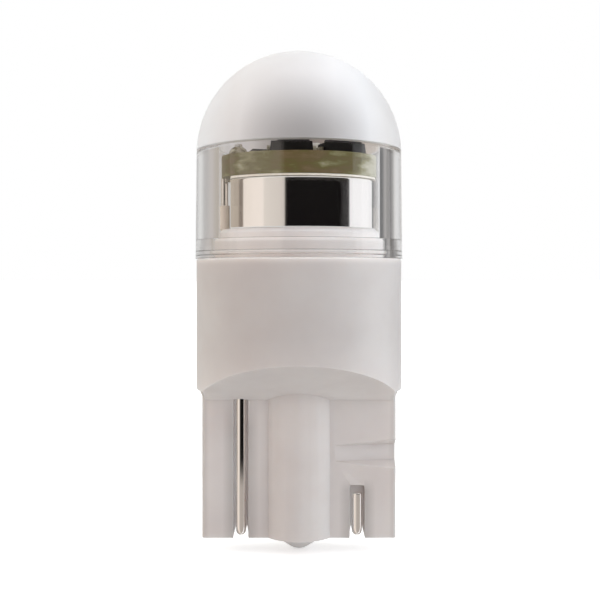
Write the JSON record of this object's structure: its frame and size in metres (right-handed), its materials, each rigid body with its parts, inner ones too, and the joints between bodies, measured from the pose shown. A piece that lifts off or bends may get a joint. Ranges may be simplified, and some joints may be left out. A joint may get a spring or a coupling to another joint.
{
  "type": "wedge base led bulb",
  "caption": "Small LED bulb with a flat wedge blade, wires folded under it, a clear sleeve and an opal dome.",
  "frame": {"origin": "centre of the blade's flat end, on the lamp's axis", "axes": "+Z along the lamp's axis towards the dome, X along the blade's width, -Y towards the blade's front face"},
  "size_m": [0.0104, 0.0104, 0.0248],
  "materials": {
    "base_plastic": "satin",
    "clear_plastic": "polished",
    "opal_plastic": "satin",
    "contact_wire": "gloss",
    "tinned_lead": "satin",
    "insulator": "satin",
    "polished_metal": "polished",
    "thermal_pad": "matte",
    "board_laminate": "satin",
    "led_ceramic": "satin",
    "phosphor": "gloss",
    "black_epoxy": "satin",
    "solder": "satin"
  },
  "bodies": {
    "root": {"base_body": "base_plastic", "clear_sleeve": "clear_plastic", "dome_diffuser": "opal_plastic", "contact_wire_left": "contact_wire", "contact_wire_right": "contact_wire", "board_lead_left": "tinned_lead", "board_lead_right": "tinned_lead", "lead_insulator_left": "insulator", "lead_insulator_right": "insulator", "heat_sink": "polished_metal", "thermal_pad": "thermal_pad", "led_board": "board_laminate", "led_package": "led_ceramic", "led_phosphor": "phosphor", "rectifier_diode_front_left": "black_epoxy", "rectifier_diode_front_right": "black_epoxy", "rectifier_diode_back_left": "black_epoxy", "rectifier_diode_back_right": "black_epoxy", "diode_terminals": "solder", "current_resistor_left": "black_epoxy", "current_resistor_right": "black_epoxy", "resistor_end_caps": "solder", "solder_joint_left": "solder", "solder_joint_right": "solder"}
  },
  "joints": []
}
